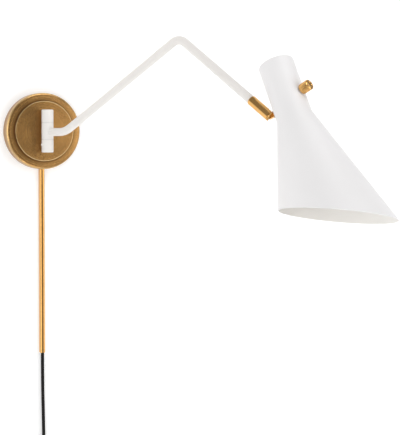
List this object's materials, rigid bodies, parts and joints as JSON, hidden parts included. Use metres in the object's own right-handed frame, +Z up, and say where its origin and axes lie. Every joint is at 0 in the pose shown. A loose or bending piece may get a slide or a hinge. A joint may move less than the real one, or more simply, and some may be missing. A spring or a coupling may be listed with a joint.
{
  "type": "swing arm wall sconce",
  "caption": "Plug-in wall sconce: round brass canopy, hinged bent tube arm, brass swivel knuckle, angled cone shade with rotary switch knob, cord cover and lead.",
  "frame": {"origin": "on the wall plane at the canopy's centre", "axes": "+X right along the wall, +Y into the wall, +Z up"},
  "size_m": [0.3675, 0.6392, 0.8099],
  "materials": {
    "satin_brass": "satin, turned",
    "polished_brass": "polished",
    "white_coat": "matte powder coat",
    "shade_coat": "matte powder coat",
    "zinc_steel": "zinc plated",
    "green_screw": "dyed",
    "nylon": "matte",
    "splice_caps": "matte",
    "black_rubber": "matte",
    "black_lead": "satin",
    "black_tie": "woven",
    "black_plug": "satin moulded",
    "plug_brass": "plain",
    "arm_cable": "matte",
    "socket_black": "moulded phenolic"
  },
  "bodies": {
    "wall_mount": {"wall_bracket": "zinc_steel", "ground_screw": "green_screw", "canopy": "satin_brass", "canopy_disc": "satin_brass", "hinge_bracket": "white_coat", "hinge_set_screw": "white_coat", "pivot_tube": "zinc_steel", "barrel_caps": "white_coat", "thrust_washers": "nylon", "stem_washer": "zinc_steel", "stem_nut": "zinc_steel", "wire_nuts": "splice_caps", "white_wires": "arm_cable", "black_wires": "black_lead", "cord_cover": "polished_brass", "cord_grommet": "black_rubber", "cover_clips": "zinc_steel", "lead_in_cover": "black_lead", "lead": "black_lead", "lead_coil": "black_lead", "lead_tail": "black_lead", "coil_tie": "black_tie", "plug_relief": "black_plug", "plug_body": "black_plug", "plug_blades": "plug_brass"},
    "arm": {"arm_knuckle": "white_coat", "arm_tube": "white_coat", "arm_wire": "arm_cable", "arm_stud": "polished_brass", "stud_nut": "zinc_steel"},
    "swivel": {"swivel_sleeve": "polished_brass", "knuckle_end": "polished_brass", "pivot_screw": "polished_brass", "spring_washer": "zinc_steel"},
    "shade": {"knuckle_tongue": "polished_brass", "foot_nut": "zinc_steel", "shade": "shade_coat", "lamp_nipple": "zinc_steel", "nipple_nut": "zinc_steel", "neck_finial": "polished_brass", "socket_cap": "socket_black", "lamp_socket": "socket_black", "socket_shell": "plug_brass", "socket_contact": "plug_brass", "switch_body": "socket_black", "switch_nut": "zinc_steel"},
    "knob": {"switch_shaft": "zinc_steel", "switch_knob": "polished_brass", "knob_grub_screw": "zinc_steel"}
  },
  "joints": [
    {"name": "arm_swing", "type": "hinge", "parent": "wall_mount", "child": "arm", "pos_m": [0, -0.0414, 0], "axis": [0, 0, -1], "range_deg": [-55, 105]},
    {"name": "shade_swivel", "type": "hinge", "parent": "arm", "child": "swivel", "pos_m": [0.17706, -0.4211, 0.04201], "axis": [0.3462, -0.7424, -0.5736], "range_deg": [-75.8, 104.2]},
    {"name": "shade_tilt", "type": "hinge", "parent": "swivel", "child": "shade", "pos_m": [0.18938, -0.44753, 0.02159], "axis": [-0.8192, -0.5372, 0.2009], "range_deg": [-90, 24]},
    {"name": "switch_turn", "type": "hinge", "parent": "shade", "child": "knob", "pos_m": [0.21843, -0.48923, 0.05429], "axis": [0.383, -0.7951, 0.4702], "continuous": true}
  ]
}
